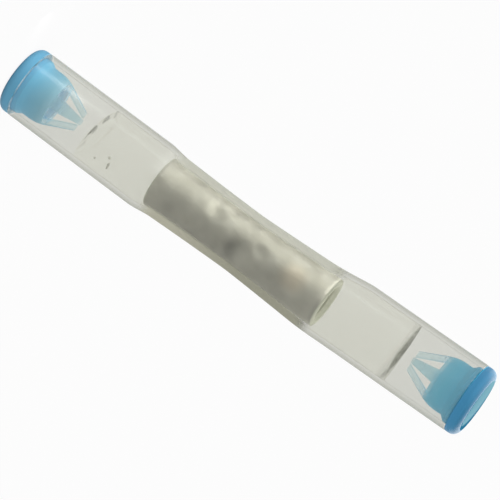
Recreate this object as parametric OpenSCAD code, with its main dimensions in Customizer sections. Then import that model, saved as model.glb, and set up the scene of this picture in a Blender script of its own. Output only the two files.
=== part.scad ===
// Gel-filled crimp splice connector, standing on its lower end, with the floor at z = 0.
// A clear necked sleeve holds a metal crimp barrel, a fill of sealing gel and two slit end seals.
// Units are millimetres.

/* [Sleeve] */
// Length of the clear sleeve between the two seal flanges
sleeve_len = 38.8; // [36:0.2:44]
// Extra outside diameter of the sleeve's lower tube over its neck
lower_rise = 0.64; // [0.4:0.02:1]
// Extra outside diameter of the sleeve's upper tube over its neck
upper_rise = 0.82; // [0.4:0.02:1]
// Wall of the two tubes
tube_wall = 0.38; // [0.3:0.01:0.45]
// Wall at the narrowest point, where the sleeve grips the barrel
neck_wall = 0.31; // [0.25:0.01:0.38]
// Height of the narrowest point over the barrel's middle
neck_z = 0.15; // [-2:0.1:2]
// Length of the steep shoulder beside the barrel's lower end
lower_shoulder = 2.0; // [1.5:0.1:3]
// How far inside the barrel's lower end that shoulder meets the neck's slope
lower_shoulder_in = 1.05; // [0.5:0.05:1.3]
// Extra diameter of the sleeve where the lower shoulder meets the neck's slope
lower_foot_rise = 0.26; // [0.1:0.02:0.4]
// How far the long upper shoulder runs on past the barrel's upper end
upper_shoulder = 1.95; // [1:0.05:3]

/* [Bend] */
// How far the barrel's upper end leans towards -X from the line of the lower tube
barrel_lean = 0.13; // [0:0.01:0.3]
// How far the upper tube's inner end leans towards -X
shoulder_lean = 0.37; // [0:0.01:0.5]
// How far the sleeve's upper end leans towards -X
end_lean = 0.68; // [0:0.02:1]
// How far inside the barrel's upper end the sleeve starts to bend
bend_in = 1.55; // [0.5:0.05:2.5]
// How far beyond the upper shoulder the bend ends
bend_out = 0.5; // [0:0.1:1]

/* [Barrel] */
// Length of the crimp barrel
barrel_len = 15.0; // [12:0.5:17]
// Outside diameter of the barrel
barrel_od = 4.0; // [3.6:0.05:4.2]
// Bore of the barrel, for the stripped wires
barrel_id = 2.4; // [2:0.05:2.6]
// Height of the barrel's middle over the sleeve's middle
barrel_z = -0.05; // [-1:0.05:1]
// Depth of the flare inside each mouth
mouth_flare = 0.25; // [0.1:0.05:0.4]
// Bevel round the outside of each end
barrel_bevel = 0.12; // [0.05:0.01:0.2]

/* [Wire stops] */
// Heights of the punched stops over the barrel's middle
stop_z = [0.1, 2.1];
// Angles of the stops round the barrel, from the front towards +X
stop_angle = [30, -4];
// Width of each stop's dimple at the surface
stop_d = [1.5, 1.1];
// Depth of the dimple outside
stop_depth = 0.5; // [0.3:0.05:0.6]
// Height of the bump that each stop raises inside the bore
stop_bump = 0.45; // [0.2:0.05:0.55]

/* [End seals] */
// Thickness of the flange that closes the sleeve's end
flange_t = 0.95; // [0.8:0.05:1.2]
// How much narrower each flange is than the tube that it closes
flange_shy = 0.03; // [0:0.01:0.1]
// Rounding of the flange's outer edge
flange_round = 0.6; // [0.3:0.05:0.65]
// Diameter of the wire entry through the flange
entry_d = 3.0; // [2.6:0.1:3.2]
// Bevel that leads a wire into the entry
entry_bevel = 0.4; // [0.2:0.05:0.45]
// Length of the collar that fits the tube's bore
collar_len = 0.45; // [0.3:0.05:0.6]
// Length of the step between the collar and the plug
collar_step = 0.35; // [0.2:0.05:0.5]
// Diameter of the plug inside the sleeve
plug_d = 4.0; // [3.8:0.05:4.2]
// How far the seal reaches into the sleeve, to its finger tips
seal_depth = 4.6; // [4.4:0.1:5]
// Distance from the flange to the roots of the slots
slot_root = 2.5; // [2.3:0.1:3]
// Outside radius at the finger tips
tip_r = 0.8; // [0.7:0.05:0.9]
// Thickness of the fingers, from the outer cone to the inner one
finger_wall = 0.45; // [0.35:0.05:0.5]
// Slope of the cone that the fingers lie on
cone_slope = 0.47; // [0.45:0.01:0.5]
// Radius of the bend between the seal's plug and its cone
nose_blend = 3.0; // [2:0.1:3.2]
// Number of fingers
finger_count = 4; // [3:1:5]
// Width of each finger at its root
finger_root_w = 1.2; // [0.9:0.05:1.3]
// Width of each finger at its tip
finger_tip_w = 0.4; // [0.2:0.05:0.5]
// Angle of the first finger round the seal, from the front towards +X
finger_angle = 0; // [-45:1:45]

/* [Gel] */
// Distance from the sleeve's lower end to the gel's lower front
gel_lower_gap = 6.2; // [5.1:0.1:7]
// Distance from the sleeve's upper end to the gel's upper front
gel_upper_gap = 5.6; // [5.1:0.1:7]
// Depth of the hollow in each front
meniscus = 0.25; // [0.1:0.05:0.4]

/* [Fits] */
// Clearance between pieces that nest in one another
fit_gap = 0.02; // [0.01:0.01:0.05]
// Clearance between the gel and the barrel's end faces
face_gap = 0.05; // [0.04:0.01:0.1]

/* [Hidden] */

// Facets round each swept ring, and round the turned pieces
ring_n = 48;
turned_n = 96;
// Rings along each curved stretch
shoulder_steps = 6;
taper_steps = 7;
// How the diameter grows away from the neck: 1 is straight, more is slower at first
lower_curve = 1.45;
upper_curve = 1.15;
// Extra length that makes cuts run clear of a face
over = 1;

sleeve_low = flange_t;
sleeve_high = sleeve_low + sleeve_len;
barrel_mid = (sleeve_low + sleeve_high) / 2 + barrel_z;
barrel_low = barrel_mid - barrel_len / 2;
barrel_high = barrel_mid + barrel_len / 2;
narrow_z = barrel_mid + neck_z;
neck_d = barrel_od + 2 * (fit_gap + neck_wall);
lower_tube_d = neck_d + lower_rise;
upper_tube_d = neck_d + upper_rise;
lower_flange_r = (lower_tube_d - flange_shy) / 2;
upper_flange_r = (upper_tube_d - flange_shy) / 2;
// The lower shoulder runs between these two heights
lower_in = barrel_low + lower_shoulder_in;
lower_out = lower_in - lower_shoulder;
lower_in_d = neck_d + lower_foot_rise;
upper_out = barrel_high + upper_shoulder;
bend_low = barrel_high - bend_in;
bend_high = upper_out + bend_out;

function smooth(u) = u * u * (3 - 2 * u);
function mix(a, b, u) = a + (b - a) * u;
function part_of(z, a, b) = max(0, min(1, (z - a) / (b - a)));

// Outside diameter of the sleeve at height z
function outer_d(z) =
    z < lower_in ? mix(lower_tube_d, lower_in_d, smooth(part_of(z, lower_out, lower_in)))
    : z < narrow_z ? mix(neck_d, lower_in_d, pow(part_of(z, narrow_z, lower_in), lower_curve))
    : mix(neck_d, upper_tube_d, pow(part_of(z, narrow_z, upper_out), upper_curve));

// Wall of the sleeve at height z
function wall(z) =
    z < narrow_z ? mix(neck_wall, tube_wall, smooth(part_of(z, narrow_z, lower_out)))
    : mix(neck_wall, tube_wall, smooth(part_of(z, narrow_z, upper_out)));

function inner_r(z) = outer_d(z) / 2 - wall(z);

// The lower tube is upright. The barrel's straight axis and the upper tube lean towards -X
function barrel_shift(z) = barrel_lean * (z - barrel_low) / barrel_len;
function upper_shift(z) = mix(shoulder_lean, end_lean, (z - upper_out) / (sleeve_high - upper_out));

// Lean of the sleeve's centre line at height z
function shift(z) =
    z < barrel_low ? 0
    : z < bend_low ? barrel_shift(z)
    : z < bend_high ? mix(barrel_shift(z), upper_shift(z), smooth(part_of(z, bend_low, bend_high)))
    : upper_shift(z);

barrel_tilt = atan(barrel_lean / barrel_len);
upper_tilt = atan((end_lean - shoulder_lean) / (sleeve_high - upper_out));

// Angle of the centre line away from upright
function tilt(z) =
    z < barrel_low ? mix(0, barrel_tilt, smooth(part_of(z, lower_out, barrel_low)))
    : mix(barrel_tilt, upper_tilt, smooth(part_of(z, bend_low, bend_high)));

// The origin is under the middle of the whole outline, between the two flanges' far edges
upper_reach = max(
    end_lean + (upper_flange_r - flange_round) * cos(upper_tilt)
        + (flange_t - flange_round) * sin(upper_tilt) + flange_round,
    end_lean + upper_tube_d / 2 * cos(upper_tilt));
foot_x = (upper_reach - lower_tube_d / 2) / 2;

function centre(z) = [foot_x - shift(z), 0, z];

// Places of the rings along the sleeve
sleeve_z = [
    sleeve_low,
    for (i = [0 : shoulder_steps]) mix(lower_out, lower_in, i / shoulder_steps),
    for (i = [1 : taper_steps]) mix(lower_in, narrow_z, i / taper_steps),
    for (i = [1 : taper_steps]) mix(narrow_z, bend_low, i / taper_steps),
    for (i = [1 : shoulder_steps]) mix(bend_low, upper_out, i / shoulder_steps),
    bend_high,
    sleeve_high
];

// A ring of points round c, at right angles to a line that leans by the given angle
function ring(c, angle, r) =
    [for (i = [0 : ring_n - 1])
        let (t = 360 * i / ring_n)
        c + r * [cos(t) * cos(angle), sin(t), cos(t) * sin(angle)]];

// Rings round the sleeve's centre line at height z, and round the barrel's axis at a length along it
function sleeve_ring(z, r) = ring(centre(z), tilt(z), r);
function barrel_ring(along, r) =
    ring(centre(barrel_low) + along * [-sin(barrel_tilt), 0, cos(barrel_tilt)], barrel_tilt, r);

function band(from, to) =
    [for (i = [0 : ring_n - 1])
        let (j = (i + 1) % ring_n)
        each [[to + j, from + j, from + i], [to + i, to + j, from + i]]];

// A closed skin over a list of rings, which may run back to the first one
module swept(rings, loops_back = false) {
    count = len(rings);
    last = (count - 1) * ring_n;
    points = [for (r = rings) each r];
    walls = [for (k = [0 : count - 2]) each band(k * ring_n, (k + 1) * ring_n)];
    caps = [[for (i = [0 : ring_n - 1]) i], [for (i = [0 : ring_n - 1]) last + ring_n - 1 - i]];
    polyhedron(points, concat(walls, loops_back ? band(last, 0) : caps));
}

module outer_sleeve() {
    steps = len(sleeve_z) - 1;
    color([0.86, 0.87, 0.84, 0.5])
        swept(concat(
            [for (z = sleeve_z) sleeve_ring(z, outer_d(z) / 2)],
            [for (i = [0 : steps]) let (z = sleeve_z[steps - i]) sleeve_ring(z, inner_r(z))]),
            loops_back = true);
}

// Puts a piece that is drawn upright on the centre line at height z
module on_line(z, angle) {
    translate(centre(z)) rotate([0, -angle, 0]) children();
}

// Turns a piece that is drawn out along +X to an angle from the front
module turned_to(angle) {
    rotate([0, 0, angle - 90]) children();
}

module barrel_profile() {
    r = barrel_od / 2;
    bore = barrel_id / 2;
    mouth = bore + mouth_flare;
    polygon([
        [mouth, 0], [r - barrel_bevel, 0], [r, barrel_bevel], [r, barrel_len - barrel_bevel],
        [r - barrel_bevel, barrel_len], [mouth, barrel_len], [bore, barrel_len - mouth_flare],
        [bore, mouth_flare]
    ]);
}

module crimp_barrel() {
    r = barrel_od / 2;
    bore = barrel_id / 2;
    color([0.62, 0.61, 0.56])
        on_line(barrel_low, barrel_tilt)
        difference() {
            union() {
                rotate_extrude($fn = turned_n) barrel_profile();
                for (i = [0 : len(stop_z) - 1])
                    translate([0, 0, barrel_len / 2 + stop_z[i]])
                        turned_to(stop_angle[i])
                        translate([bore - stop_bump, 0, 0]) rotate([0, 90, 0])
                        cylinder(h = stop_bump + (r - bore) / 2, d1 = stop_d[i] * 0.6, d2 = stop_d[i],
                            $fn = 48);
            }
            for (i = [0 : len(stop_z) - 1])
                translate([0, 0, barrel_len / 2 + stop_z[i]])
                    turned_to(stop_angle[i])
                    translate([r - stop_depth, 0, 0]) rotate([0, 90, 0])
                    cylinder(h = stop_depth + over, d1 = stop_d[i] * 0.6,
                        d2 = stop_d[i] * (0.6 + 0.4 * (stop_depth + over) / stop_depth), $fn = 48);
        }
}

// Half section of a seal, drawn with its plug running up from z = 0 and its flange below
module seal_profile(flange_r, collar_r) {
    entry_r = entry_d / 2;
    entry_out = min(entry_r + entry_bevel, flange_r - flange_round);
    plug_r = plug_d / 2;
    arc_steps = 8;
    cone_angle = atan(cone_slope);
    // The cone's line meets the plug's side at this height, and an arc rounds that corner
    corner = seal_depth - (plug_r - tip_r) / cone_slope;
    blend_len = min(nose_blend * tan(cone_angle / 2), (corner - collar_len - collar_step) * 0.9);
    blend_r = blend_len / tan(cone_angle / 2);
    // The inner cone runs beside the outer one until it meets the entry's bore
    tip_open_r = tip_r - finger_wall;
    inner_corner = seal_depth - (entry_r - tip_open_r) / cone_slope;
    polygon(concat(
        [for (i = [0 : arc_steps])
            let (a = 90 * i / arc_steps)
            [flange_r - flange_round * (1 - sin(a)), flange_round * (1 - cos(a)) - flange_t]],
        [[flange_r, 0], [collar_r, 0], [collar_r, collar_len], [plug_r, collar_len + collar_step]],
        [for (i = [0 : arc_steps])
            let (a = cone_angle * i / arc_steps)
            [plug_r - blend_r * (1 - cos(a)), corner - blend_len + blend_r * sin(a)]],
        [[tip_r, seal_depth], [tip_open_r, seal_depth], [entry_r, inner_corner]],
        [[entry_r, entry_out - entry_r - flange_t], [entry_out, -flange_t]]
    ));
}

// A wedge along +X that narrows from the slots' roots to the finger's tip
module finger_wedge(reach) {
    rotate([90, 0, 90])
        linear_extrude(height = reach)
        polygon([
            [-finger_root_w / 2, slot_root - over], [finger_root_w / 2, slot_root - over],
            [finger_root_w / 2, slot_root], [finger_tip_w / 2, seal_depth],
            [finger_tip_w / 2, seal_depth + over], [-finger_tip_w / 2, seal_depth + over],
            [-finger_tip_w / 2, seal_depth], [-finger_root_w / 2, slot_root]
        ]);
}

// A turned plug whose cone is slit into fingers
module end_seal(tube_d, flange_r) {
    collar_r = tube_d / 2 - tube_wall - fit_gap;
    difference() {
        rotate_extrude($fn = turned_n) seal_profile(flange_r, collar_r);
        difference() {
            translate([0, 0, slot_root]) cylinder(h = seal_depth, r = collar_r, $fn = turned_n);
            for (i = [0 : finger_count - 1])
                rotate([0, 0, i * 360 / finger_count]) finger_wedge(collar_r + over);
        }
    }
}

module end_seal_lower() {
    color([0.36, 0.66, 0.82])
        on_line(sleeve_low, 0)
        turned_to(finger_angle) end_seal(lower_tube_d, lower_flange_r);
}

module end_seal_upper() {
    color([0.36, 0.66, 0.82])
        on_line(sleeve_high, upper_tilt)
        rotate([180, 0, 0]) turned_to(180 - finger_angle) end_seal(upper_tube_d, upper_flange_r);
}

module sealant_gel() {
    gel_low = sleeve_low + gel_lower_gap;
    gel_high = sleeve_high - gel_upper_gap;
    above_barrel = barrel_high + face_gap;
    below_barrel = barrel_low - face_gap;
    bore_r = barrel_id / 2 - fit_gap;
    mouth_r = bore_r + mouth_flare;
    waist_r = bore_r - stop_bump - fit_gap;
    waist_low = barrel_len / 2 + min(stop_z) - max(stop_d);
    waist_high = barrel_len / 2 + max(stop_z) + max(stop_d);
    waist_run = 0.5;
    color([0.90, 0.91, 0.86, 0.5])
        swept(concat(
            [for (k = [0.3, 0.7])
                sleeve_ring(gel_low + meniscus * (1 - k), k * (inner_r(gel_low) - fit_gap))],
            [for (z = [gel_low, for (z = sleeve_z) if (z > gel_low && z < below_barrel) z, below_barrel])
                sleeve_ring(z, inner_r(z) - fit_gap)],
            [for (s = [[-face_gap, mouth_r], [mouth_flare, bore_r],
                [waist_low, bore_r], [waist_low + waist_run, waist_r],
                [waist_high - waist_run, waist_r], [waist_high, bore_r],
                [barrel_len - mouth_flare, bore_r], [barrel_len + face_gap, mouth_r]])
                barrel_ring(s[0], s[1])],
            [for (z = [above_barrel, for (z = sleeve_z) if (z > above_barrel && z < gel_high) z, gel_high])
                sleeve_ring(z, inner_r(z) - fit_gap)],
            [for (k = [0.7, 0.3])
                sleeve_ring(gel_high - meniscus * (1 - k), k * (inner_r(gel_high) - fit_gap))]));
}

outer_sleeve();
crimp_barrel();
end_seal_lower();
end_seal_upper();
sealant_gel();
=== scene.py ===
import math

import bpy
from mathutils import Matrix, Vector


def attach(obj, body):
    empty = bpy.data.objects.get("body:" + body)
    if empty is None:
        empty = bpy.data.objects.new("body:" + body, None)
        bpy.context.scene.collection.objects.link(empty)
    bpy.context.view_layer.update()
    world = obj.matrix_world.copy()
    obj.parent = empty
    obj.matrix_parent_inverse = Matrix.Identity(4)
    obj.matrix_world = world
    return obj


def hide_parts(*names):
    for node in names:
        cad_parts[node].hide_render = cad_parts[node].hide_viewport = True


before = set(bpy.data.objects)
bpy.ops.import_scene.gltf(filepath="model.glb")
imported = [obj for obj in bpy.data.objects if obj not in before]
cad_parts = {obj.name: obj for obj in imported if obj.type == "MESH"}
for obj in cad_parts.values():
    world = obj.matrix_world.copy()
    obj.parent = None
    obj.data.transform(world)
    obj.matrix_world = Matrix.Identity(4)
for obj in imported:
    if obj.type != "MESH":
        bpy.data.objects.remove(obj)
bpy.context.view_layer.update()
mm = 0.001

# The splice stands on its lower flange. All sizes are in millimetres, as in the part's source
sleeve = {
    "low": 0.95, "high": 39.75,  # the two mouths
    "lowerTube": 5.30, "upperTube": 5.48, "neck": 4.66,  # outside diameters
    "tubeWall": 0.38, "neckWall": 0.31, "lip": 0.05,  # the lip is the rounding of the mouths' edges
    "fit": 0.02,  # clearance round what sits inside
    "lowerOut": 11.85, "lowerIn": 13.85, "lowerInWidth": 4.92,  # the steep lower shoulder
    "narrow": 20.45, "upperOut": 29.75,  # the narrowest place, and the end of the long upper shoulder
    "lowerCurve": 1.45, "upperCurve": 1.15,  # how late the tube swells below and above that place
    "bendLow": 26.25, "bendHigh": 30.25,
    "barrelLean": 0.13, "shoulderLean": 0.37, "endLean": 0.68,  # how far the axis has moved to -X
    "footX": 0.38434,  # the lower tube's axis
    "segments": 96,
}
barrel = {
    "low": 12.80, "length": 15.0, "width": 4.0, "bore": 2.4, "flare": 0.25, "bevel": 0.12,
    "segments": 112, "rows": 60,
    # punched wire stops: height over the barrel's middle, angle from the front, width, depth
    "stops": [(0.5, 30, 2.2, 0.24), (1.8, -4, 1.2, 0.15)],
    # slight dents that the shrunk sleeve shows
    "dents": [(-2.4, -20, 1.5, 0.11), (-4.6, 34, 2.2, 0.08), (5.0, 22, 2.4, 0.09), (-1.2, -50, 1.8, 0.07)],
}


def mix(a, b, share):
    return a + (b - a) * share


def partOf(z, a, b):
    return max(0.0, min(1.0, (z - a) / (b - a)))


def smooth(u):
    return u * u * (3 - 2 * u)


# The sleeve's diameter, wall and lean at a height, by the same curves as the solid
def outerWidth(z):
    if z < sleeve["lowerIn"]:
        return mix(sleeve["lowerTube"], sleeve["lowerInWidth"],
                   smooth(partOf(z, sleeve["lowerOut"], sleeve["lowerIn"])))
    if z < sleeve["narrow"]:
        return mix(sleeve["neck"], sleeve["lowerInWidth"],
                   partOf(z, sleeve["narrow"], sleeve["lowerIn"]) ** sleeve["lowerCurve"])
    return mix(sleeve["neck"], sleeve["upperTube"],
               partOf(z, sleeve["narrow"], sleeve["upperOut"]) ** sleeve["upperCurve"])


def innerRadius(z):
    far = sleeve["lowerOut"] if z < sleeve["narrow"] else sleeve["upperOut"]
    wall = mix(sleeve["neckWall"], sleeve["tubeWall"], smooth(partOf(z, sleeve["narrow"], far)))
    return outerWidth(z) / 2 - wall


def barrelLean(z):
    return sleeve["barrelLean"] * (z - barrel["low"]) / barrel["length"]


def upperLean(z):
    return mix(sleeve["shoulderLean"], sleeve["endLean"],
               (z - sleeve["upperOut"]) / (sleeve["high"] - sleeve["upperOut"]))


def leanAt(z):
    if z < barrel["low"]:
        return 0.0
    if z < sleeve["bendLow"]:
        return barrelLean(z)
    if z < sleeve["bendHigh"]:
        return mix(barrelLean(z), upperLean(z), smooth(partOf(z, sleeve["bendLow"], sleeve["bendHigh"])))
    return upperLean(z)


barrelTilt = math.atan(sleeve["barrelLean"] / barrel["length"])
upperTilt = math.atan((sleeve["endLean"] - sleeve["shoulderLean"]) / (sleeve["high"] - sleeve["upperOut"]))


def tiltAt(z):
    if z < barrel["low"]:
        return mix(0.0, barrelTilt, smooth(partOf(z, sleeve["lowerOut"], barrel["low"])))
    return mix(barrelTilt, upperTilt, smooth(partOf(z, sleeve["bendLow"], sleeve["bendHigh"])))


def tiltedAxis(tilt):
    return Vector((-math.sin(tilt), 0, math.cos(tilt)))


def fromFront(angle):
    # the level direction that many degrees round from the front, towards +X
    a = math.radians(angle)
    return Vector((math.sin(a), -math.cos(a), 0))


# A ring is (centre, tilt, radius) in metres
def onSleeve(z, radius):
    return Vector((sleeve["footX"] - leanAt(z), 0, z)) * mm, tiltAt(z), radius * mm


def onBarrel(along, radius):
    foot = Vector((sleeve["footX"], 0, barrel["low"]))
    return (foot + along * tiltedAxis(barrelTilt)) * mm, barrelTilt, radius * mm


def heights(*stretches):
    # (from, to, steps) for each stretch, the joints between them only once
    out = []
    for low, high, steps in stretches:
        out += [mix(low, high, i / steps) for i in range(steps)]
    return out + [stretches[-1][1]]


def growRings(name, rings, segments, capped=False):
    # a circle is extruded from ring to ring, either with both ends closed or back to where it began
    bpy.ops.object.select_all(action="DESELECT")
    centre, tilt, radius = rings[0]
    bpy.ops.mesh.primitive_circle_add(vertices=segments, radius=radius, location=centre,
                                      rotation=(0, -tilt, 0), fill_type="NGON" if capped else "NOTHING")
    piece = bpy.context.object
    piece.name = piece.data.name = name
    bpy.ops.object.transform_apply(location=True, rotation=True, scale=True)
    bpy.ops.object.mode_set(mode="EDIT")
    bpy.ops.mesh.select_mode(type="FACE" if capped else "EDGE")
    bpy.ops.mesh.select_all(action="SELECT")
    for nextCentre, nextTilt, nextRadius in rings[1:]:
        grow = nextRadius / radius
        bpy.ops.mesh.extrude_region_move(TRANSFORM_OT_translate={"value": nextCentre - centre})
        bpy.ops.transform.resize(value=(grow, grow, grow), center_override=nextCentre)
        if nextTilt != tilt:
            bpy.ops.transform.rotate(value=nextTilt - tilt, orient_axis="Y", center_override=nextCentre)
        centre, tilt, radius = nextCentre, nextTilt, nextRadius
    bpy.ops.mesh.select_all(action="SELECT")
    bpy.ops.mesh.remove_doubles(threshold=0.004 * mm)  # a loop's last ring lies on its first
    bpy.ops.mesh.normals_make_consistent(inside=False)
    bpy.ops.object.mode_set(mode="OBJECT")
    return piece


def smoothPiece(piece, degrees=38):
    bpy.ops.object.select_all(action="DESELECT")
    piece.select_set(True)
    bpy.context.view_layer.objects.active = piece
    bpy.ops.object.shade_smooth_by_angle(angle=math.radians(degrees))


def mouthRings(z, inwards):
    # a mouth of the sleeve, from its outside in; inwards is 1 where the tube is above it, or else -1
    lip = sleeve["lip"]
    turn = lip * 0.3
    outside, inside = outerWidth(z) / 2, innerRadius(z)
    return [onSleeve(z + inwards * turn, outside - turn), onSleeve(z, outside - lip),
            onSleeve(z, inside + lip), onSleeve(z + inwards * turn, inside + turn)]


def makeSleeve():
    low, high, lip = sleeve["low"], sleeve["high"], sleeve["lip"]
    levels = heights((low + lip, low + 2 * lip, 1), (low + 2 * lip, sleeve["lowerOut"], 5),
                     (sleeve["lowerOut"], sleeve["lowerIn"], 14), (sleeve["lowerIn"], sleeve["narrow"], 12),
                     (sleeve["narrow"], sleeve["bendLow"], 12), (sleeve["bendLow"], sleeve["bendHigh"], 18),
                     (sleeve["bendHigh"], high - 2 * lip, 5), (high - 2 * lip, high - lip, 1))
    outer = [onSleeve(z, outerWidth(z) / 2) for z in levels]
    inner = [onSleeve(z, innerRadius(z)) for z in reversed(levels)]
    rings = outer + mouthRings(high, -1) + inner + mouthRings(low, 1)[::-1] + outer[:1]
    return growRings("clear_sleeve", rings, sleeve["segments"])


def punch(z, angle, width, depth):
    # pushes the barrel's wall in round a point on its surface, inner wall too
    centre, _, radius = onBarrel(barrel["length"] / 2 + z, barrel["width"] / 2)
    outward = fromFront(angle)
    spot = centre + outward * radius
    reach = width / 2 * 1.3  # the push is hardly felt in the outer part of its reach
    mesh = bpy.context.object.data
    bpy.ops.mesh.select_all(action="DESELECT")
    bpy.ops.object.mode_set(mode="OBJECT")
    nearest = min(mesh.vertices, key=lambda v: (v.co - spot).length)
    nearest.select = True
    bpy.ops.object.mode_set(mode="EDIT")
    bpy.ops.transform.translate(value=-outward * depth * mm, use_proportional_edit=True,
                                proportional_edit_falloff="SMOOTH", proportional_size=reach * mm)


def makeBarrel():
    long, radius, bore = barrel["length"], barrel["width"] / 2, barrel["bore"] / 2
    bevel, flare, rows = barrel["bevel"], barrel["flare"], barrel["rows"]
    mouth = bore + flare

    def endRings(along, inwards):
        # an end of the barrel, from its outside in
        turn = bevel * 0.3
        return [onBarrel(along + inwards * turn, radius - turn), onBarrel(along, radius - bevel),
                onBarrel(along, mouth + 0.04), onBarrel(along + inwards * 0.03, mouth)]

    outer = [onBarrel(along, radius) for along in heights((bevel, long - bevel, rows))]
    inner = [onBarrel(along, bore) for along in reversed(heights((flare, long - flare, rows)))]
    rings = outer + endRings(long, -1) + inner + endRings(0, 1)[::-1] + outer[:1]
    piece = growRings("tinned_barrel", rings, barrel["segments"])
    bpy.ops.object.mode_set(mode="EDIT")
    bpy.ops.mesh.select_mode(type="VERT")
    for hollow in barrel["stops"] + barrel["dents"]:
        punch(*hollow)
    bpy.ops.object.mode_set(mode="OBJECT")
    return piece


# Depths and heights of a seal are measured from the sleeve's mouth, into the sleeve
seal = {
    "flangeShy": 0.03,  # how much narrower than the tube the flange is
    "flangeHeight": 0.95, "flangeRound": 0.6,
    "entry": 3.0, "entryBevel": 0.4,  # the wire entry
    "collar": 0.45, "step": 0.35, "plug": 4.0,  # the step leads from the collar to the plug's diameter
    "depth": 4.6, "slotRoot": 2.5, "tipRadius": 0.8, "wall": 0.45, "slope": 0.47, "noseRadius": 3.0,
    "fingers": 4, "rootWidth": 1.2, "tipWidth": 0.4,
    "segments": 96,
}


def cutWith(piece, cutter):
    bpy.ops.object.select_all(action="DESELECT")
    piece.select_set(True)
    bpy.context.view_layer.objects.active = piece
    cut = piece.modifiers.new("cut", "BOOLEAN")
    cut.operation = "DIFFERENCE"
    cut.solver = "EXACT"
    cut.object = cutter
    bpy.ops.object.modifier_apply(modifier=cut.name)
    bpy.data.objects.remove(cutter)


def makeWedge(tall, reach, turn):
    # the room of one finger: a block from the axis outwards, which narrows towards the finger's tip
    over, root = 0.5, seal["rootWidth"]
    bpy.ops.object.select_all(action="DESELECT")
    bpy.ops.mesh.primitive_cube_add(size=1, location=(0, 0, 0))
    wedge = bpy.context.object
    bpy.ops.object.mode_set(mode="EDIT")
    bpy.ops.mesh.select_all(action="SELECT")
    bpy.ops.transform.translate(value=(0, -0.5, 0.5))
    bpy.ops.transform.resize(value=(root * mm, reach * mm, (tall + 2 * over) * mm), center_override=(0, 0, 0))
    bpy.ops.transform.translate(value=(0, 0, (seal["slotRoot"] - over) * mm))
    bpy.ops.mesh.select_all(action="DESELECT")
    bpy.ops.object.mode_set(mode="OBJECT")
    top = max(v.co.z for v in wedge.data.vertices)
    for face in wedge.data.polygons:
        face.select = abs(face.center.z - top) < 1e-6
    bpy.ops.object.mode_set(mode="EDIT")
    bpy.ops.mesh.select_mode(type="FACE")
    narrowing = (root - seal["tipWidth"]) / (seal["depth"] - seal["slotRoot"])
    topWidth = max(root - narrowing * (tall + over), 0.02)
    bpy.ops.transform.resize(value=(topWidth / root, 1, 1), center_override=(0, 0, top))
    bpy.ops.mesh.select_all(action="SELECT")
    bpy.ops.transform.rotate(value=turn, orient_axis="Z", center_override=(0, 0, 0))
    bpy.ops.object.mode_set(mode="OBJECT")
    return wedge


def makeCutter(collar):
    # what is cut away between the fingers: a drum less one wedge for each finger, all larger than the seal
    tall = seal["depth"] - seal["slotRoot"] + 1
    bpy.ops.object.select_all(action="DESELECT")
    bpy.ops.mesh.primitive_cylinder_add(vertices=seal["segments"], radius=(collar + 0.3) * mm,
                                        depth=tall * mm, location=(0, 0, (seal["slotRoot"] + tall / 2) * mm))
    drum = bpy.context.object
    for i in range(seal["fingers"]):
        cutWith(drum, makeWedge(tall, collar + 1, math.radians(i * 360 / seal["fingers"])))
    return drum


def sealProfile(tubeWidth):
    # radius and height of each ring: round the flange, up the plug and fingers, and down the bore
    collar = tubeWidth / 2 - sleeve["tubeWall"] - sleeve["fit"]
    flange, foot, rounding = (tubeWidth - seal["flangeShy"]) / 2, -seal["flangeHeight"], seal["flangeRound"]
    plug, entry, bevel = seal["plug"] / 2, seal["entry"] / 2, seal["entryBevel"]
    shoulder = seal["collar"] + seal["step"]
    tip, depth = seal["tipRadius"], seal["depth"]
    lean = math.atan(seal["slope"])
    corner = depth - (plug - tip) / seal["slope"]  # where plug and cone would meet without the nose's curve
    blend = min(seal["noseRadius"] * math.tan(lean / 2), (corner - shoulder) * 0.9)
    nose = blend / math.tan(lean / 2)
    tipOpen = tip - seal["wall"]
    innerCorner = depth - (entry - tipOpen) / seal["slope"]

    quarter = [math.radians(90 * i / 12) for i in range(13)]
    profile = [(flange - rounding * (1 - math.sin(a)), rounding * (1 - math.cos(a)) + foot) for a in quarter]
    # edges are broken by a few hundredths of a millimetre
    profile += [(flange, -0.04), (flange - 0.04, 0), (collar, 0), (collar, seal["collar"] - 0.06),
                (collar - 0.06, seal["collar"] + 0.04), (plug + 0.03, shoulder - 0.03),
                (plug, shoulder + 0.05)]
    curve = [lean * i / 8 for i in range(9)]
    profile += [(plug - nose * (1 - math.cos(a)), corner - blend + nose * math.sin(a)) for a in curve]
    coneRadius, coneHeight = profile[-1]
    profile += [(mix(coneRadius, tip, i / 6), mix(coneHeight, depth, i / 6)) for i in range(1, 7)]
    profile += [(mix(tipOpen, entry, i / 6), mix(depth, innerCorner, i / 6)) for i in range(7)]
    profile += [(entry, foot + bevel + 0.05), (entry + 0.05, foot + bevel - 0.05),
                (entry + bevel - 0.04, foot + 0.04), (entry + bevel + 0.05, foot), profile[0]]
    return profile, collar


def makeSeal(name, tubeWidth, z, tilt, turned):
    # drawn with its plug up from z = 0 and its flange below, then put on the sleeve's mouth
    profile, collar = sealProfile(tubeWidth)
    rings = [(Vector((0, 0, high)) * mm, 0.0, radius * mm) for radius, high in profile]
    piece = growRings(name, rings, seal["segments"])
    cutWith(piece, makeCutter(collar))
    bpy.ops.object.mode_set(mode="EDIT")
    bpy.ops.mesh.select_all(action="SELECT")
    if turned:
        bpy.ops.transform.rotate(value=math.pi, orient_axis="X", center_override=(0, 0, 0))
    bpy.ops.transform.rotate(value=tilt, orient_axis="Y", center_override=(0, 0, 0))
    bpy.ops.transform.translate(value=onSleeve(z, 0)[0])
    bpy.ops.object.mode_set(mode="OBJECT")
    return piece


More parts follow.
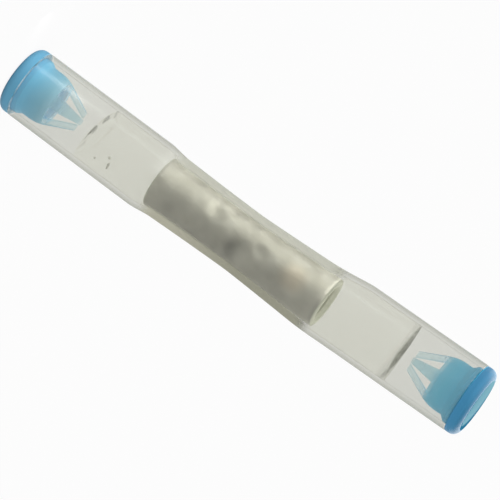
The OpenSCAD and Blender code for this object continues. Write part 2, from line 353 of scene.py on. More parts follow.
gel = {
    "lowerGap": 6.2, "upperGap": 5.6,  # from the sleeve's mouths to the gel's two fronts
    "hollow": 0.25, "rim": 0.3,
    "slant": 8.0,  # degrees, the lower front is higher on the side away from +X
    "slantFade": 3.5,  # height over which that slant is lost
    "nod": 10.4,  # degrees, the upper front is higher on the viewer's side
    # where the punched stops narrow the barrel's bore: place over its middle, half length, slope, depth
    "waist": (1.0, 1.6, 0.6, 0.5),
    # air bubbles under the tube's wall: angle from the front, height, half width and half height,
    # then the name, colour and cover of the skin painted on it: painted shade at a bubble's dark edges, or a
    # painted highlight
    "bubbles": [(39.5, 9.48, 0.33, 0.09, "air bubble, dark skin", "#6E6F63", 0.38),
                (22.5, 9.33, 0.13, 0.13, "air bubble, bright skin", "#FFFFFB", 0.75),
                (43, 8.35, 0.14, 0.07, "air bubble, faint skin", "#8A8B80", 0.22)],
    "bubbleThick": 0.08, "bubbleDepth": 0.12,
    # the painted dark lines of the fronts on the wall, painted shade for the light that their rims bend away:
    # how far off a line starts to fade and is gone, and its strength
    "lowerLine": (0.02, 0.09, 0.50), "upperLine": (0.05, 0.24, 0.70), "upperBand": (0.2, 0.6, 0.14),
}
gelLow = sleeve["low"] + gel["lowerGap"]
gelHigh = sleeve["high"] - gel["upperGap"]


def gelFront(base, slant, inwards):
    # rings of a hollow front, from its middle out to the wall
    wall = innerRadius(base) - sleeve["fit"]
    rim = gel["rim"]
    centre, tilt, _ = onSleeve(base, 0)
    spots = [(inwards * gel["hollow"] * (1 - k * k), k * (wall - rim)) for k in (0.1, 0.4, 0.7, 1.0)]
    spots += [(-inwards * 0.06, wall - rim * 0.3), (-inwards * 0.10, wall), (inwards * 0.03, wall)]
    return [(centre + tiltedAxis(tilt) * along * mm, tilt + slant, radius * mm) for along, radius in spots]


def makeGel():
    long, flare = barrel["length"], barrel["flare"]
    bore = barrel["bore"] / 2 - sleeve["fit"]
    mouth = bore + flare
    gap = 0.05  # the gel passes the barrel's ends this far off
    below, above = barrel["low"] - gap, barrel["low"] + long + gap

    # the wall's rings keep a little off the two fronts, which slant and nod
    rings = gelFront(gelLow, math.radians(-gel["slant"]), 1)
    for z in heights((gelLow + 0.5, sleeve["lowerOut"], 8), (sleeve["lowerOut"], below, 8)):
        centre, tilt, radius = onSleeve(z, innerRadius(z) - sleeve["fit"])
        left = max(0, 1 - (z - gelLow) / gel["slantFade"])
        rings.append((centre, tilt - math.radians(gel["slant"]) * left, radius))
    place, half, slope, depth = gel["waist"]
    middle = long / 2 + place
    rings += [onBarrel(-gap, mouth), onBarrel(flare, bore), onBarrel(middle - half - slope, bore),
              onBarrel(middle - half, bore - depth), onBarrel(middle + half, bore - depth),
              onBarrel(middle + half + slope, bore), onBarrel(long - flare, bore),
              onBarrel(long + gap, mouth)]
    rings += [onSleeve(z, innerRadius(z) - sleeve["fit"])
              for z in heights((above, sleeve["bendHigh"], 10), (sleeve["bendHigh"], gelHigh - 0.7, 6))]
    rings += reversed(gelFront(gelHigh, 0.0, -1))
    piece = growRings("clear_gel", rings, sleeve["segments"], capped=True)
    # the upper front nods: its rings are turned about the X axis
    bpy.ops.object.mode_set(mode="EDIT")
    bpy.ops.mesh.select_mode(type="VERT")
    bpy.ops.mesh.select_all(action="DESELECT")
    bpy.ops.object.mode_set(mode="OBJECT")
    for v in piece.data.vertices:
        v.select = v.co.z > (gelHigh - 0.5) * mm
    bpy.ops.object.mode_set(mode="EDIT")
    bpy.ops.transform.rotate(value=math.radians(gel["nod"]), orient_axis="X",
                             center_override=onSleeve(gelHigh, 0)[0])
    bpy.ops.object.mode_set(mode="OBJECT")
    return piece


def addBubble(piece, angle, z, halfWide, halfHigh, material):
    # a flattened air bubble just under the gel's wall, joined to the gel
    bpy.ops.object.select_all(action="DESELECT")
    bpy.ops.mesh.primitive_uv_sphere_add(segments=20, ring_count=12, radius=1 * mm)
    bubble = bpy.context.object
    bubble.data.materials.append(material)
    centre, _, radius = onSleeve(z, innerRadius(z) - sleeve["fit"] - gel["bubbleDepth"])
    bpy.ops.object.mode_set(mode="EDIT")
    bpy.ops.mesh.select_all(action="SELECT")
    bpy.ops.transform.resize(value=(halfWide, gel["bubbleThick"], halfHigh))
    bpy.ops.transform.rotate(value=-math.radians(angle), orient_axis="Z", center_override=(0, 0, 0))
    bpy.ops.transform.translate(value=centre + fromFront(angle) * radius)
    bpy.ops.object.mode_set(mode="OBJECT")
    bpy.ops.object.shade_smooth()
    piece.select_set(True)
    bpy.context.view_layer.objects.active = piece
    bpy.ops.object.join()


# Materials
def colour(code):
    # an sRGB hex code as linear light
    parts = [int(code[i:i + 2], 16) / 255 for i in (1, 3, 5)]
    return [c / 12.92 if c <= 0.04045 else ((c + 0.055) / 1.055) ** 2.4 for c in parts] + [1.0]


def newMaterial(name):
    material = bpy.data.materials.new(name)
    material.use_nodes = True
    material.node_tree.nodes.clear()
    return material, material.node_tree


def addNode(tree, kind, settings=None, links=None):
    # a key is a socket's number or name, or else a setting of the node
    node = tree.nodes.new("ShaderNode" + kind)
    for key, value in (settings or {}).items():
        if isinstance(key, int) or key in node.inputs:
            node.inputs[key].default_value = value
        else:
            setattr(node, key, value)
    for key, socket in (links or {}).items():
        tree.links.new(socket, node.inputs[key])
    return node


def setStops(ramp, stops):
    # each stop is a position and a colour, and the first two are the ramp's own
    for i, (spot, value) in enumerate(stops):
        stop = ramp.color_ramp.elements[i] if i < 2 else ramp.color_ramp.elements.new(spot)
        stop.position, stop.color = spot, value


glass = {
    "milkDark": "#CCCDC2", "milkLight": "#D6D7CD",
    "milk": 0.10, "milkEdge": 0.34,  # how much the milk covers, seen straight and seen edge-on
    # what is left of the light behind it, seen straight, through the wall's side and edge-on
    "tint": "#F7F7F4", "tintWall": "#EBEBE7", "tintEdge": "#D3D4CE",
    "glossLimit": 0.075,  # the most that the tube mirrors
    "boreTint": "#F5F5F4", "boreMilk": 0.04,
    # the barrel's tin painted into the wall's outline, where the real wall bends it outwards: painted light
    # on the -X side, and painted shade low and high on the other
    "tinLitSide": "#CCCDBF", "tinShadeLow": "#C2C0AA", "tinShadeHigh": "#A3A28C", "tinEdge": 0.8,
}


def paintedBarrelInWall(tree, place, edge):
    # where the tube is shrunk tight, the barrel's grey is painted out to the wall's very outline, for the
    # light that the wall bends there: lighter towards -X as painted light, darker on the other side as
    # painted shade
    apart = addNode(tree, "SeparateXYZ", links={"Vector": place})
    low, high = barrel["low"], barrel["low"] + barrel["length"]
    above = addNode(tree, "MapRange", {"interpolation_type": "SMOOTHSTEP", 1: (low - 0.2) * mm,
                                       2: (low + 1.0) * mm}, {0: apart.outputs["Z"]})
    below = addNode(tree, "MapRange", {"interpolation_type": "SMOOTHSTEP", 1: (high - 1.2) * mm,
                                       2: high * mm, 3: glass["tinEdge"], 4: 0.0}, {0: apart.outputs["Z"]})
    grazing = addNode(tree, "MapRange", {"interpolation_type": "SMOOTHSTEP", 1: 0.31, 2: 0.44},
                      {0: edge.outputs["Facing"]})
    stretch = addNode(tree, "Math", {"operation": "MULTIPLY"},
                      {0: above.outputs["Result"], 1: below.outputs["Result"]})
    share = addNode(tree, "Math", {"operation": "MULTIPLY"},
                    {0: stretch.outputs[0], 1: grazing.outputs["Result"]})
    across = addNode(tree, "MapRange", {1: (sleeve["footX"] - 1.5) * mm, 2: (sleeve["footX"] + 1.5) * mm},
                     {0: apart.outputs["X"]})
    upwards = addNode(tree, "MapRange", {1: (low + 3.0) * mm, 2: (low + 8.5) * mm}, {0: apart.outputs["Z"]})
    shadeSide = addNode(tree, "Mix", {"data_type": "RGBA", 6: colour(glass["tinShadeLow"]),
                                 7: colour(glass["tinShadeHigh"])}, {0: upwards.outputs["Result"]})
    tone = addNode(tree, "Mix", {"data_type": "RGBA", 6: colour(glass["tinLitSide"])},
                   {0: across.outputs["Result"], 7: shadeSide.outputs[2]})
    grey = addNode(tree, "BsdfPrincipled", {"Roughness": 0.5, "Specular IOR Level": 0.0},
                   {"Base Color": tone.outputs[2]})
    return share, grey


def milkyPlastic():
    # clear polyolefin tube, drawn and shrunk: slightly milky and grey, glossy, denser where seen edge-on
    material, tree = newMaterial("milky polyolefin, drawn")
    place = addNode(tree, "TexCoord").outputs["Object"]
    cloud = addNode(tree, "TexNoise", {"Scale": 1 / (3.0 * mm), "Detail": 3.0}, {"Vector": place})
    tone = addNode(tree, "ValToRGB", links={"Fac": cloud.outputs["Fac"]})
    setStops(tone, [(0.3, colour(glass["milkDark"])), (0.7, colour(glass["milkLight"]))])
    wave = addNode(tree, "TexNoise", {"Scale": 1 / (1.6 * mm), "Detail": 2.0}, {"Vector": place})
    relief = addNode(tree, "Bump", {"Strength": 0.10, "Distance": 0.05 * mm}, {"Height": wave.outputs["Fac"]})
    rough = addNode(tree, "MapRange", {3: 0.22, 4: 0.30}, {0: cloud.outputs["Fac"]})
    milk = addNode(tree, "BsdfPrincipled", {"IOR": 1.5, "Metallic": 0.0, "Specular IOR Level": 0.0},
                   {"Base Color": tone.outputs["Color"], "Roughness": rough.outputs["Result"]})
    edge = addNode(tree, "LayerWeight", {"Blend": 0.5})
    tint = addNode(tree, "ValToRGB", links={"Fac": edge.outputs["Facing"]})
    setStops(tint, [(0.0, colour(glass["tint"])), (1.0, colour(glass["tintEdge"])),
                    (0.43, colour(glass["tint"])), (0.50, colour(glass["tintWall"]))])
    clear = addNode(tree, "BsdfTransparent", links={"Color": tint.outputs["Color"]})
    cover = addNode(tree, "MapRange", {1: 0.45, 2: 1.0, 3: glass["milk"], 4: glass["milkEdge"]},
                    {0: edge.outputs["Facing"]})
    film = addNode(tree, "MixShader",
                   links={0: cover.outputs["Result"], 1: clear.outputs[0], 2: milk.outputs[0]})
    # the barrel's grey, as painted light and painted shade, painted into the wall's outline
    share, grey = paintedBarrelInWall(tree, place, edge)
    film = addNode(tree, "MixShader", links={0: share.outputs[0], 1: film.outputs[0], 2: grey.outputs[0]})
    # the gloss is only on the side turned to the eye
    shine = addNode(tree, "BsdfGlossy", {"Color": (1, 1, 1, 1)},
                    {"Normal": relief.outputs["Normal"], "Roughness": rough.outputs["Result"]})
    fresnel = addNode(tree, "Fresnel", {"IOR": 1.5}, {"Normal": relief.outputs["Normal"]})
    limited = addNode(tree, "Math", {"operation": "MINIMUM", 1: glass["glossLimit"]}, {0: fresnel.outputs[0]})
    side = addNode(tree, "NewGeometry")
    gloss = addNode(tree, "MapRange", {4: 0.0}, {0: side.outputs["Backfacing"], 3: limited.outputs[0]})
    both = addNode(tree, "MixShader",
                   links={0: gloss.outputs["Result"], 1: film.outputs[0], 2: shine.outputs[0]})
    addNode(tree, "OutputMaterial", links={"Surface": both.outputs[0]})
    return material


def boreWall():
    # the inner wall of the same tube, wetted by the gel, so that it hardly shines
    material, tree = newMaterial("milky polyolefin, bore")
    place = addNode(tree, "TexCoord").outputs["Object"]
    cloud = addNode(tree, "TexNoise", {"Scale": 1 / (2.0 * mm), "Detail": 3.0}, {"Vector": place})
    cover = addNode(tree, "MapRange", {3: glass["boreMilk"] * 0.7, 4: glass["boreMilk"] * 1.3},
                    {0: cloud.outputs["Fac"]})
    milk = addNode(tree, "BsdfPrincipled", {"Base Color": colour("#D2D3C8"), "IOR": 1.5, "Roughness": 0.4,
                                            "Specular IOR Level": 0.0})
    clear = addNode(tree, "BsdfTransparent", {"Color": colour(glass["boreTint"])})
    film = addNode(tree, "MixShader",
                   links={0: cover.outputs["Result"], 1: clear.outputs[0], 2: milk.outputs[0]})
    addNode(tree, "OutputMaterial", links={"Surface": film.outputs[0]})
    return material


tin = {
    "dark": "#C9C7BA", "light": "#E2E1D6",
    "warm": "#F6EBD6", "warmAlong": 12.3,  # a warm patch where the plating is thin, that far up the barrel
    "cutDark": "#D3D4C5", "cutLight": "#E1E2D4",
}


def tinPlate():
    # tin-plated copper tube: satin grey metal, slightly warm, with soft mottling from the plating
    material, tree = newMaterial("tin-plated copper, satin")
    place = addNode(tree, "TexCoord").outputs["Object"]
    patch = addNode(tree, "TexNoise", {"Scale": 1 / (1.8 * mm), "Detail": 4.0, "Roughness": 0.55},
                    {"Vector": place})
    tone = addNode(tree, "ValToRGB", links={"Fac": patch.outputs["Fac"]})
    setStops(tone, [(0.32, colour(tin["dark"])), (0.68, colour(tin["light"]))])
    spot = onBarrel(tin["warmAlong"], 0)[0] + Vector((0, -barrel["width"] / 2 * mm, 0))
    away = addNode(tree, "VectorMath", {"operation": "DISTANCE", 1: spot}, {0: place})
    warmth = addNode(tree, "MapRange", {"interpolation_type": "SMOOTHSTEP", 1: 0.2 * mm, 2: 1.5 * mm,
                                        3: 0.8, 4: 0.0}, {0: away.outputs["Value"]})
    base = addNode(tree, "Mix", {"data_type": "RGBA", 7: colour(tin["warm"])},
                   {0: warmth.outputs["Result"], 6: tone.outputs["Color"]})
    fine = addNode(tree, "TexNoise", {"Scale": 1 / (1.2 * mm), "Detail": 2.0}, {"Vector": place})
    relief = addNode(tree, "Bump", {"Strength": 0.5, "Distance": 0.12 * mm}, {"Height": fine.outputs["Fac"]})
    rough = addNode(tree, "MapRange", {3: 0.46, 4: 0.56}, {0: patch.outputs["Fac"]})
    metal = addNode(tree, "BsdfPrincipled", {"Metallic": 1.0},
                    {"Base Color": base.outputs[2], "Roughness": rough.outputs["Result"],
                     "Normal": relief.outputs["Normal"]})
    addNode(tree, "OutputMaterial", links={"Surface": metal.outputs[0]})
    return material


def cutEnd():
    # the barrel's sawn ends and the mouths of its bore: matte tin, painted pale as painted light, so that the
    # bore's mouths do not fall into their shade
    material, tree = newMaterial("tin-plated copper, cut end, painted light")
    place = addNode(tree, "TexCoord").outputs["Object"]
    saw = addNode(tree, "TexNoise", {"Scale": 1 / (0.25 * mm), "Detail": 3.0}, {"Vector": place})
    tone = addNode(tree, "ValToRGB", links={"Fac": saw.outputs["Fac"]})
    setStops(tone, [(0.3, colour(tin["cutDark"])), (0.7, colour(tin["cutLight"]))])
    relief = addNode(tree, "Bump", {"Strength": 0.2, "Distance": 0.02 * mm}, {"Height": saw.outputs["Fac"]})
    matte = addNode(tree, "BsdfPrincipled", {"Roughness": 0.6, "Specular IOR Level": 0.1},
                    {"Base Color": tone.outputs["Color"], "Normal": relief.outputs["Normal"]})
    addNode(tree, "OutputMaterial", links={"Surface": matte.outputs[0]})
    return material


# The seals' blue, each stop a depth into the sleeve and what holds there. The first is at the finger
# tips and the second at the flange's far face, and the others lie between them in any order. The darker stops
# at the flange's far face are painted shade along its rim
blue = {
    # the two seals are one plastic: the lower one's tones are painted lighter and the upper one's darker, as
    # painted light and shade
    "lowerTones": [(4.6, "#CEF0FC"), (-0.95, "#4A93BC"), (-0.80, "#62A4C4"), (3.4, "#C2ECFC"),
                   (1.9, "#74C4E6"), (0.5, "#56C8FA"), (0.02, "#56C8FA"), (-0.02, "#62A4C4")],
    "upperTones": [(4.6, "#B0E6F4"), (-0.95, "#256C90"), (-0.6, "#3A88B2"), (2.9, "#B8EEFE"),
                   (2.2, "#6CD0F4"), (1.5, "#52C8EE"), (0.5, "#47C1EC"), (0.02, "#47C1EC"),
                   (-0.02, "#3E8DB9")],
    # the wire entry is painted lighter, painted light on its wall, bevel and ring, with a line of painted
    # shade at its rim
    "entryTones": [(4.6, "#A4DCEE"), (-0.95, "#2F7A9C"), (-0.88, "#8CC0CE"), (0.0, "#8CC0CE")],
    # the inner skin is painted lighter than the body, painted light where it lies in shade
    "hollowTones": [(4.6, "#CEF0FC"), (-0.95, "#6CC8F4"), (3.0, "#B0E6FF"), (2.2, "#80D6FF")],
    "ringTones": [(4.6, "#6CB4D6"), (-0.95, "#6CB4D6")],
    # how much of the surface covers what is behind it
    "lowerCover": [(4.6, 0.08), (-0.95, 1.0), (3.3, 0.26), (2.75, 0.45), (2.45, 0.96), (1.7, 1.0)],
    "upperCover": [(4.6, 0.16), (-0.95, 1.0), (3.0, 0.38), (2.5, 0.60), (2.1, 1.0)],
    "hollowCover": [(4.6, 0.12), (-0.95, 0.65), (3.3, 0.15), (2.6, 0.35), (2.2, 0.65)],
    "ringCover": [(4.6, 1.0), (-0.95, 1.0)],
    "edgeOn": "#58B4E2", "lowerRim": 0.7, "upperRim": 0.85,  # the clear parts' colour and cover edge-on
}


def bluePlastic(name, tones, covers, roughness=(0.40, 0.52), specular=0.3, rim=0.0):
    # soft blue polyethylene, injection moulded: waxy, and ever clearer towards its thin fingers
    material, tree = newMaterial(name)
    place = addNode(tree, "TexCoord").outputs["Object"]
    apart = addNode(tree, "SeparateXYZ", links={"Vector": place})
    middle = (sleeve["low"] + sleeve["high"]) / 2
    half = (sleeve["high"] - sleeve["low"]) / 2
    fromMiddle = addNode(tree, "Math", {"operation": "SUBTRACT", 1: middle * mm}, {0: apart.outputs["Z"]})
    distance = addNode(tree, "Math", {"operation": "ABSOLUTE"}, {0: fromMiddle.outputs[0]})
    tip, end = half - seal["depth"], half + seal["flangeHeight"]
    thick = addNode(tree, "MapRange", {1: tip * mm, 2: end * mm}, {0: distance.outputs[0]})

    def atDepth(depth):
        return (half - depth - tip) / (end - tip)

    tone = addNode(tree, "ValToRGB", links={"Fac": thick.outputs["Result"]})
    setStops(tone, [(atDepth(depth), colour(code)) for depth, code in tones])
    cover = addNode(tree, "ValToRGB", links={"Fac": thick.outputs["Result"]})
    setStops(cover, [(atDepth(depth), (share, share, share, 1)) for depth, share in covers])
    # the clear parts are deeper blue where they are seen edge-on
    edge = addNode(tree, "LayerWeight", {"Blend": 0.5})
    grazing = addNode(tree, "MapRange", {"interpolation_type": "SMOOTHSTEP", 1: 0.45, 2: 0.85, 4: rim},
                      {0: edge.outputs["Facing"]})
    thin = addNode(tree, "Math", {"operation": "SUBTRACT", 0: 1.0}, {1: cover.outputs["Color"]})
    share = addNode(tree, "Math", {"operation": "MULTIPLY"},
                    {0: thin.outputs[0], 1: grazing.outputs["Result"]})
    total = addNode(tree, "Math", {"operation": "ADD"}, {0: cover.outputs["Color"], 1: share.outputs[0]})
    # from behind, each skin lets the light through, as the translucent wall does
    side = addNode(tree, "NewGeometry")
    shown = addNode(tree, "MapRange", {4: 0.0}, {0: side.outputs["Backfacing"], 3: total.outputs[0]})
    deep = addNode(tree, "Mix", {"data_type": "RGBA", 7: colour(blue["edgeOn"])},
                   {0: share.outputs[0], 6: tone.outputs["Color"]})
    grain = addNode(tree, "TexNoise", {"Scale": 1 / (0.35 * mm), "Detail": 2.0}, {"Vector": place})
    relief = addNode(tree, "Bump", {"Strength": 0.12, "Distance": 0.02 * mm},
                     {"Height": grain.outputs["Fac"]})
    rough = addNode(tree, "MapRange", {3: roughness[0], 4: roughness[1]}, {0: grain.outputs["Fac"]})
    body = addNode(tree, "BsdfPrincipled", {"IOR": 1.5, "Specular IOR Level": specular},
                   {"Base Color": deep.outputs[2], "Normal": relief.outputs["Normal"],
                    "Roughness": rough.outputs["Result"]})
    clear = addNode(tree, "BsdfTransparent", {"Color": colour("#F2FAFC")})
    both = addNode(tree, "MixShader",
                   links={0: shown.outputs["Result"], 1: clear.outputs[0], 2: body.outputs[0]})
    addNode(tree, "OutputMaterial", links={"Surface": both.outputs[0]})
    return material


def frontShadeLine(tree, place, base, slant, nod, shadeLine, fades):
    # a line of painted shade, strongest on the plane of a gel front, where its rim bends the light away, gone
    # a little way off it, and weakened by each of the fades
    near, gone, strength = shadeLine
    centre = onSleeve(base, 0)[0]
    normal = Vector((math.sin(slant), math.sin(nod), 1)).normalized()
    reach = addNode(tree, "VectorMath", {"operation": "DOT_PRODUCT", 1: normal}, {0: place})
    offset = addNode(tree, "Math", {"operation": "SUBTRACT", 1: centre.dot(normal)},
                     {0: reach.outputs["Value"]})
    away = addNode(tree, "Math", {"operation": "ABSOLUTE"}, {0: offset.outputs[0]})
    level = addNode(tree, "MapRange", {"interpolation_type": "SMOOTHSTEP", 1: near * mm, 2: gone * mm,
                                       3: strength, 4: 0.0}, {0: away.outputs[0]})
    for fade in fades:
        level = addNode(tree, "Math", {"operation": "MULTIPLY"}, {0: level.outputs[0], 1: fade.outputs[0]})
    return level


def clearGel():
    # soft sealing gel: nearly clear, a faint haze, and grey lines of painted shade where its fronts climb the
    # wall
    material, tree = newMaterial("silicone gel, poured")
    place = addNode(tree, "TexCoord").outputs["Object"]
    apart = addNode(tree, "SeparateXYZ", links={"Vector": place})
    cloud = addNode(tree, "TexNoise", {"Scale": 1 / (2.0 * mm), "Detail": 2.0}, {"Vector": place})
    haze = addNode(tree, "BsdfPrincipled", {"Base Color": colour("#D0D1C4"), "IOR": 1.41, "Roughness": 0.3,
                                            "Specular IOR Level": 0.0})
    clear = addNode(tree, "BsdfTransparent", {"Color": colour("#FFFFFD")})
    cover = addNode(tree, "MapRange", {3: 0.005, 4: 0.03}, {0: cloud.outputs["Fac"]})
    film = addNode(tree, "MixShader",
                   links={0: cover.outputs["Result"], 1: clear.outputs[0], 2: haze.outputs[0]})

    # the lines are broken, and fade out at the back and to the sides
    breaks = addNode(tree, "TexNoise", {"Scale": 1 / (0.7 * mm), "Detail": 1.0}, {"Vector": place})
    broken = addNode(tree, "MapRange", {1: 0.42, 2: 0.54, 3: 0.08}, {0: breaks.outputs["Fac"]})
    uneven = addNode(tree, "MapRange", {1: 0.35, 2: 0.6, 3: 0.6}, {0: breaks.outputs["Fac"]})
    nearer = addNode(tree, "MapRange", {1: -0.6 * mm, 2: 0.3 * mm, 3: 1.0, 4: 0.12}, {0: apart.outputs["Y"]})
    leftwards = addNode(tree, "MapRange", {1: (sleeve["footX"] + 0.3) * mm, 2: (sleeve["footX"] + 1.5) * mm,
                                           3: 1.0, 4: 0.05}, {0: apart.outputs["X"]})
    axisX = sleeve["footX"] - leanAt(gelHigh)
    aside = addNode(tree, "Math", {"operation": "SUBTRACT", 1: axisX * mm}, {0: apart.outputs["X"]})
    apartness = addNode(tree, "Math", {"operation": "ABSOLUTE"}, {0: aside.outputs[0]})
    central = addNode(tree, "MapRange", {1: 0.2 * mm, 2: 1.5 * mm, 3: 1.0, 4: 0.65},
                      {0: apartness.outputs[0]})
    slant, nod = math.radians(gel["slant"]), math.radians(gel["nod"])
    lowerLine = frontShadeLine(tree, place, gelLow, slant, 0, gel["lowerLine"], (broken, nearer, leftwards))
    upperLine = frontShadeLine(tree, place, gelHigh - 0.06, upperTilt, nod, gel["upperLine"],
                          (uneven, nearer, central))
    upperBand = frontShadeLine(tree, place, gelHigh - 0.1, upperTilt, nod, gel["upperBand"], (nearer,))
    both = addNode(tree, "Math", {"operation": "MAXIMUM"}, {0: upperLine.outputs[0], 1: upperBand.outputs[0]})
    frontShades = addNode(tree, "Math", {"operation": "MAXIMUM"}, {0: lowerLine.outputs[0], 1: both.outputs[0]})
    grey = addNode(tree, "BsdfPrincipled", {"Base Color": colour("#6E6F63"), "Roughness": 0.4,
                                            "Specular IOR Level": 0.0})
    withFrontShades = addNode(tree, "MixShader", links={0: frontShades.outputs[0], 1: film.outputs[0], 2: grey.outputs[0]})
    addNode(tree, "OutputMaterial", links={"Surface": withFrontShades.outputs[0]})
    return material


def airBubble(name, code, cover):
    # air caught in the gel: a thin skin of painted shade or of a painted highlight, denser where seen edge-on
    material, tree = newMaterial(name)
    edge = addNode(tree, "LayerWeight", {"Blend": 0.5})
    share = addNode(tree, "MapRange", {1: 0.0, 2: 0.7, 3: cover * 0.7, 4: cover}, {0: edge.outputs["Facing"]})
    skin = addNode(tree, "BsdfPrincipled", {"Base Color": colour(code), "Roughness": 0.25, "IOR": 1.3})
    clear = addNode(tree, "BsdfTransparent", {"Color": colour("#FBFBF8")})
    both = addNode(tree, "MixShader",
                   links={0: share.outputs["Result"], 1: clear.outputs[0], 2: skin.outputs[0]})
    addNode(tree, "OutputMaterial", links={"Surface": both.outputs[0]})
    return material


def whiteFloor():
    # white paper: seen by the camera as even white, with a trace of the object's shadow on it
    material, tree = newMaterial("white paper, matte")
    place = addNode(tree, "TexCoord").outputs["Object"]
    fibre = addNode(tree, "TexNoise", {"Scale": 1 / (2.5 * mm)}, {"Vector": place})
    tone = addNode(tree, "MapRange", {3: 0.66, 4: 0.70}, {0: fibre.outputs["Fac"]})
    paper = addNode(tree, "BsdfDiffuse", links={"Color": tone.outputs["Result"]})
    glow = addNode(tree, "Emission", {"Color": (1, 1, 1, 1), "Strength": 1.0})
    ray = addNode(tree, "LightPath")
    share = addNode(tree, "Math", {"operation": "MULTIPLY", 1: 0.93}, {0: ray.outputs["Is Camera Ray"]})
    both = addNode(tree, "MixShader", links={0: share.outputs[0], 1: paper.outputs[0], 2: glow.outputs[0]})
    addNode(tree, "OutputMaterial", links={"Surface": both.outputs[0]})
    return material


def finishPiece(piece, material, node):
    piece.data.materials.clear()
    piece.data.materials.append(material)
    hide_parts(node)
    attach(piece, "root")


def paintAlso(piece, material, belongs):
    # gives another material to the faces that the test names
    piece.data.materials.append(material)
    for face in piece.data.polygons:
        if belongs(face.center / mm, face.normal):
            face.material_index = len(piece.data.materials) - 1


def facesIn(centre, normal):
    # faces of the sleeve's bore look towards its centre line, and the flat rings of its mouths go with them
    z = max(sleeve["low"], min(sleeve["high"], centre.z))
    if abs(normal.z) > 0.3 and min(z - sleeve["low"], sleeve["high"] - z) < 2 * sleeve["lip"]:
        return True
    axisX = sleeve["footX"] - leanAt(z)
    return (centre.x - axisX) * normal.x + centre.y * normal.y < -0.2


def onCutEnd(centre, normal):
    # the barrel's end rings, and the first stretch of its bore at both ends, which get the pale painted light
    foot, tilt, _ = onBarrel(0, 0)
    axis = tiltedAxis(tilt)
    along = (centre - foot / mm).dot(axis)
    away = (centre - foot / mm - axis * along).length
    fromEnd = min(along, barrel["length"] - along)
    inMouth = fromEnd < 1.5 and away < barrel["bore"] / 2 + barrel["flare"] + 0.1
    return fromEnd < barrel["bevel"] * 0.9 or inMouth


def inHollow(centre, normal):
    # a seal's inner skin within the tube, the floors of its slots and the sides of its fingers, painted
    # lighter as painted light where they lie in shade
    depth = min(centre.z - sleeve["low"], sleeve["high"] - centre.z)
    axisX = sleeve["footX"] - leanAt(centre.z)
    away = Vector((centre.x - axisX, centre.y)).normalized()
    outwards = away.x * normal.x + away.y * normal.y
    return depth > 0.6 and (outwards < -0.15 or depth > seal["slotRoot"] - 0.1 and outwards < 0.6)


def onMouthRing(centre, normal):
    # the ring of the lower flange on which the sleeve's mouth sits
    return abs(normal.z) > 0.8 and abs(centre.z - sleeve["low"]) < 0.02


def inEntry(centre, normal):
    # the wire entry's wall, its bevel and the flat ring round it, which get painted light and a line of
    # painted shade at the rim
    if sleeve["low"] < centre.z < sleeve["high"]:
        return False
    axisX = sleeve["footX"] - leanAt(centre.z)
    return math.hypot(centre.x - axisX, centre.y) < seal["entry"] / 2 + seal["entryBevel"] + 0.25


print("sleeve")
sleevePiece = makeSleeve()
smoothPiece(sleevePiece)
print("barrel")
barrelPiece = makeBarrel()
smoothPiece(barrelPiece)
print("seals")
lowerSeal = makeSeal("lower_seal", sleeve["lowerTube"], sleeve["low"], 0.0, False)
upperSeal = makeSeal("upper_seal", sleeve["upperTube"], sleeve["high"], upperTilt, True)
smoothPiece(lowerSeal, 30)
smoothPiece(upperSeal, 30)
print("gel")
gelPiece = makeGel()
smoothPiece(gelPiece)

print("materials")
finishPiece(sleevePiece, milkyPlastic(), "outer_sleeve")
paintAlso(sleevePiece, boreWall(), facesIn)
finishPiece(barrelPiece, tinPlate(), "crimp_barrel")
paintAlso(barrelPiece, cutEnd(), onCutEnd)
# one plastic in two copies, the lower painted lighter and the upper painted darker, as painted light and
# shade
lowerBlue = bluePlastic("blue polyethylene, lower seal, painted lighter", blue["lowerTones"], blue["lowerCover"],
                        rim=blue["lowerRim"])
upperBlue = bluePlastic("blue polyethylene, upper seal, painted darker", blue["upperTones"], blue["upperCover"],
                        rim=blue["upperRim"])
finishPiece(lowerSeal, lowerBlue, "end_seal_lower")
finishPiece(upperSeal, upperBlue, "end_seal_upper")
entryPaint = bluePlastic("blue polyethylene, wire entry, painted light", blue["entryTones"], blue["upperCover"],
                         roughness=(0.55, 0.65), specular=0.0)
hollowPaint = bluePlastic("blue polyethylene, inner skin, painted light", blue["hollowTones"], blue["hollowCover"])
ringPaint = bluePlastic("blue polyethylene, mouth ring", blue["ringTones"], blue["ringCover"], specular=0.0)
for sealPiece in (lowerSeal, upperSeal):
    paintAlso(sealPiece, entryPaint, inEntry)
    paintAlso(sealPiece, hollowPaint, inHollow)
    paintAlso(sealPiece, ringPaint, onMouthRing)
finishPiece(gelPiece, clearGel(), "sealant_gel")
for angle, z, halfWide, halfHigh, *skin in gel["bubbles"]:
    addBubble(gelPiece, angle, z, halfWide, halfHigh, airBubble(*skin))

print("stage and light")
bpy.ops.object.select_all(action="DESELECT")
bpy.ops.mesh.primitive_plane_add(size=4, location=(0, 0, 0))
floor = bpy.context.object
floor.name = "floor"
floor.data.materials.append(whiteFloor())

studio = {
    "ambient": 0.95,  # world strength for diffuse light
    # what reflections see: a bright room with a dark side, that many degrees round from the front
    "bright": 3.1, "dark": 0.08, "darkAngle": 60,
    # soft strips close by, which draw the long highlight and a stronger one at the foot:
    # height, width, distance from the origin in mm, angle from the front, radiance
    "strips": [(33, 2.6, 12.3, -57, 1.2), (4.8, 1.2, 6.0, -44, 3.6)],
}


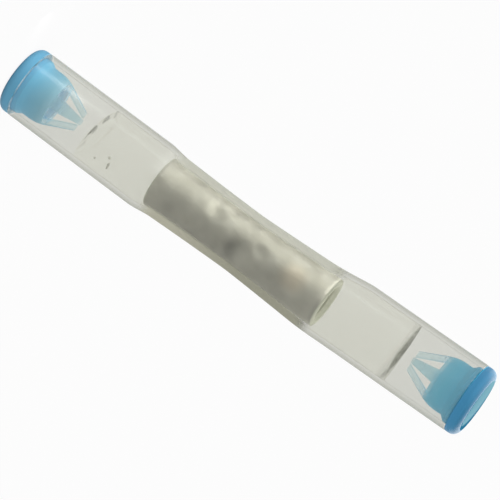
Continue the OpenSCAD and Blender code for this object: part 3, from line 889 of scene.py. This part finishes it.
def makeWorld():
    world = bpy.data.worlds.new("studio")
    bpy.context.scene.world = world
    world.use_nodes = True
    tree = world.node_tree
    tree.nodes.clear()
    place = addNode(tree, "TexCoord").outputs["Generated"]
    side = addNode(tree, "VectorMath", {"operation": "DOT_PRODUCT", 1: fromFront(studio["darkAngle"])},
                   {0: place})
    seen = addNode(tree, "MapRange", {"interpolation_type": "SMOOTHSTEP", 1: -0.1, 2: 0.5,
                                      3: studio["bright"], 4: studio["dark"]}, {0: side.outputs["Value"]})
    lit = addNode(tree, "MapRange", {1: -1.0, 2: 1.0, 3: studio["ambient"] * 1.06,
                                     4: studio["ambient"] * 0.94}, {0: side.outputs["Value"]})
    ray = addNode(tree, "LightPath")
    level = addNode(tree, "Mix", links={0: ray.outputs["Is Glossy Ray"], 2: lit.outputs["Result"],
                                        3: seen.outputs["Result"]})
    sky = addNode(tree, "Background", {"Color": (1, 1, 1, 1)}, {"Strength": level.outputs[0]})
    white = addNode(tree, "Background", {"Color": (1, 1, 1, 1), "Strength": 1.0})
    both = addNode(tree, "MixShader", links={0: ray.outputs["Is Camera Ray"], 1: sky.outputs[0],
                                             2: white.outputs[0]})
    addNode(tree, "OutputWorld", links={"Surface": both.outputs[0]})


def addStrip(height, width, distance, angle, radiance):
    towards = fromFront(angle)
    bpy.ops.object.light_add(type="AREA", location=towards * distance * mm + Vector((0, 0, height / 2 * mm)))
    lamp = bpy.context.object
    lamp.name = "strip"
    lamp.data.shape = "RECTANGLE"
    lamp.data.size = width * mm
    lamp.data.size_y = height * mm
    # an area lamp's radiance is its power over pi and its area
    lamp.data.energy = radiance * math.pi * width * height * mm * mm
    lamp.rotation_euler = towards.to_track_quat("Z", "Y").to_euler()
    lamp.visible_camera = False


makeWorld()
for strip in studio["strips"]:
    addStrip(*strip)

# the camera looks at the target from that far off, in millimetres, with the object turned in its picture
view = {
    "elevation": 10.3577, "roll": 126.7324,
    "distance": 310.05, "target": (0.4751, 0.0, 21.0534),
    "lens": 314.522, "sensor": 36,
}


def addCamera():
    rise, roll = math.radians(view["elevation"]), math.radians(view["roll"])
    back = Vector((0, -math.cos(rise), math.sin(rise)))
    flat = Vector((1, 0, 0))
    up = back.cross(flat)
    right = flat * math.cos(roll) + up * math.sin(roll)
    above = -flat * math.sin(roll) + up * math.cos(roll)
    spot = Vector(view["target"]) * mm + back * view["distance"] * mm
    bpy.ops.object.camera_add(location=spot)
    camera = bpy.context.object
    turn = Matrix((right, above, back)).transposed().to_4x4()
    camera.matrix_world = Matrix.Translation(spot) @ turn
    camera.data.lens = view["lens"]
    camera.data.sensor_width = view["sensor"]
    camera.data.clip_start = 0.01
    bpy.context.scene.camera = camera


addCamera()
bpy.context.scene.view_settings.view_transform = "Standard"
bpy.context.scene.cycles.transparent_max_bounces = 16  # many clear skins lie behind one another

print("done")
